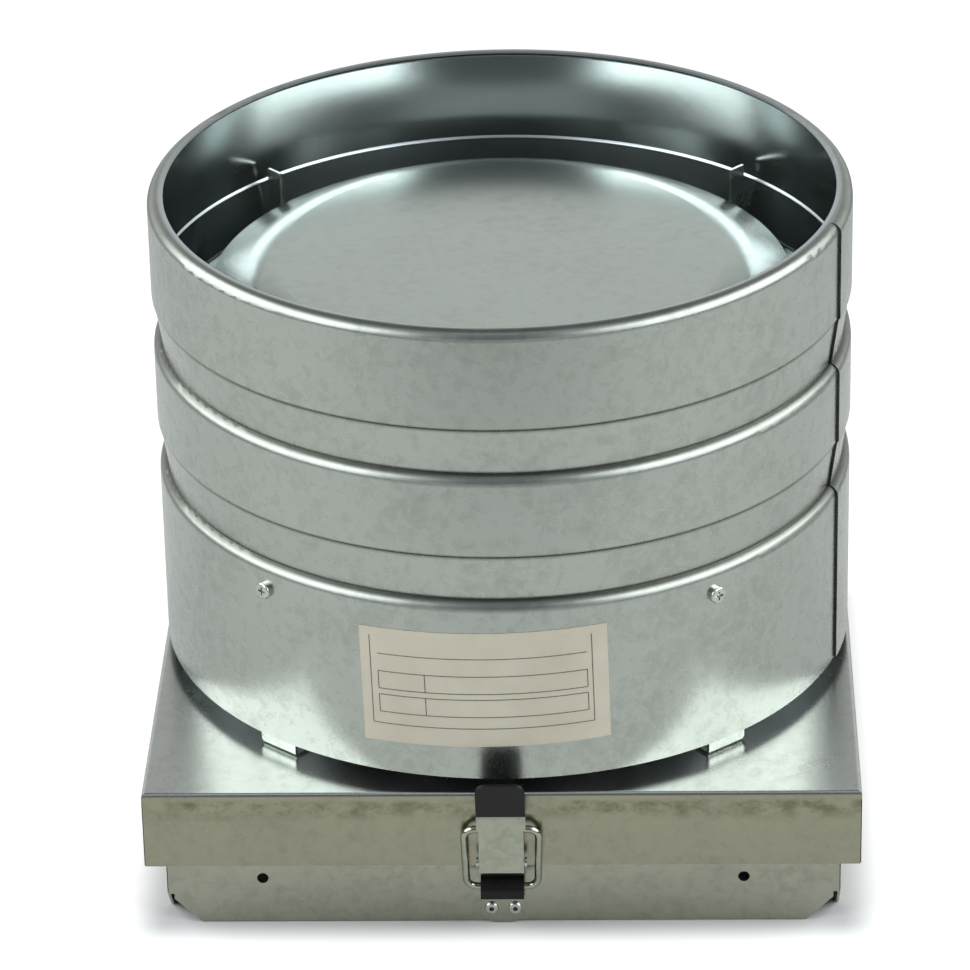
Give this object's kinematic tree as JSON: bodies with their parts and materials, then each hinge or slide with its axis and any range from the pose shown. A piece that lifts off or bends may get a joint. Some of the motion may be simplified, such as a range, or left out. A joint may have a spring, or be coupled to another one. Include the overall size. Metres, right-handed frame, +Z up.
{
  "type": "roof exhaust fan",
  "caption": "Vertical-discharge roof exhaust fan: square hinged hood on a curb frame, round beaded casing with rain cap, shrouded impeller and front draw latch.",
  "frame": {"origin": "fan axis at the lower edge of the base frame", "axes": "+Z up along the fan axis, front with the latch towards -Y, +X to the right seen from the front"},
  "size_m": [0.33, 0.3576, 0.3059],
  "materials": {
    "galvanised_sheet": "galvanised sheet, faint spangle",
    "zinc_plated_steel": "zinc plated",
    "plated_latch_steel": "plated, worn satin",
    "impeller_aluminium": "mill finish",
    "cast_aluminium": "die cast, matte",
    "bearing_steel": "ground",
    "foam_rubber": "closed-cell foam"
  },
  "bodies": {
    "base": {"base_frame": "galvanised_sheet", "frame_gasket": "foam_rubber", "latch_keeper": "plated_latch_steel", "keeper_rivets": "zinc_plated_steel", "hinge_lower_leaf_left": "zinc_plated_steel", "hinge_lower_leaf_right": "zinc_plated_steel", "hinge_pins": "zinc_plated_steel", "hinge_foot_rivets": "zinc_plated_steel"},
    "hood": {"hood_tray": "galvanised_sheet", "hinge_upper_leaf_left": "zinc_plated_steel", "hinge_upper_leaf_right": "zinc_plated_steel", "hinge_leaf_rivets": "zinc_plated_steel", "inlet_nozzle": "galvanised_sheet", "nozzle_rivets": "zinc_plated_steel", "bracket_front_left": "galvanised_sheet", "bracket_front_right": "galvanised_sheet", "bracket_rear_left": "galvanised_sheet", "bracket_rear_right": "galvanised_sheet", "bracket_rivets": "zinc_plated_steel", "casing": "galvanised_sheet", "casing_screws": "zinc_plated_steel", "rain_cap": "galvanised_sheet", "cap_posts": "zinc_plated_steel", "cap_post_screws": "zinc_plated_steel", "motor_plate": "galvanised_sheet", "motor_plate_rivets": "zinc_plated_steel", "motor_screws": "zinc_plated_steel", "motor_stator": "cast_aluminium", "motor_bearings": "bearing_steel", "latch_base": "plated_latch_steel", "latch_base_rivets": "zinc_plated_steel", "latch_pivot": "zinc_plated_steel"},
    "impeller": {"impeller_shroud": "impeller_aluminium", "impeller_blades": "impeller_aluminium", "impeller_back_plate": "impeller_aluminium", "motor_rotor": "cast_aluminium", "motor_shaft": "zinc_plated_steel"},
    "latch_lever": {"latch_lever": "plated_latch_steel"},
    "latch_bail": {"latch_bail": "plated_latch_steel"}
  },
  "joints": [
    {"name": "hood_hinge", "type": "hinge", "parent": "base", "child": "hood", "pos_m": [0, 0.1695, 0.031], "axis": [-1, 0, 0], "range_deg": [0, 90]},
    {"name": "impeller_spin", "type": "hinge", "parent": "hood", "child": "impeller", "pos_m": [0, 0, 0.15], "axis": [0, 0, 1], "continuous": true},
    {"name": "latch_lever_pivot", "type": "hinge", "parent": "hood", "child": "latch_lever", "pos_m": [0, -0.1716, 0.0408], "axis": [1, 0, 0], "range_deg": [0, 95]},
    {"name": "latch_bail_pivot", "type": "hinge", "parent": "latch_lever", "child": "latch_bail", "pos_m": [0, -0.17, 0.0574], "axis": [1, 0, 0], "range_deg": [-56, 0]}
  ],
  "couplings": [
    {"joint": "latch_bail_pivot", "follows": "latch_lever_pivot", "ratio": -0.58}
  ]
}
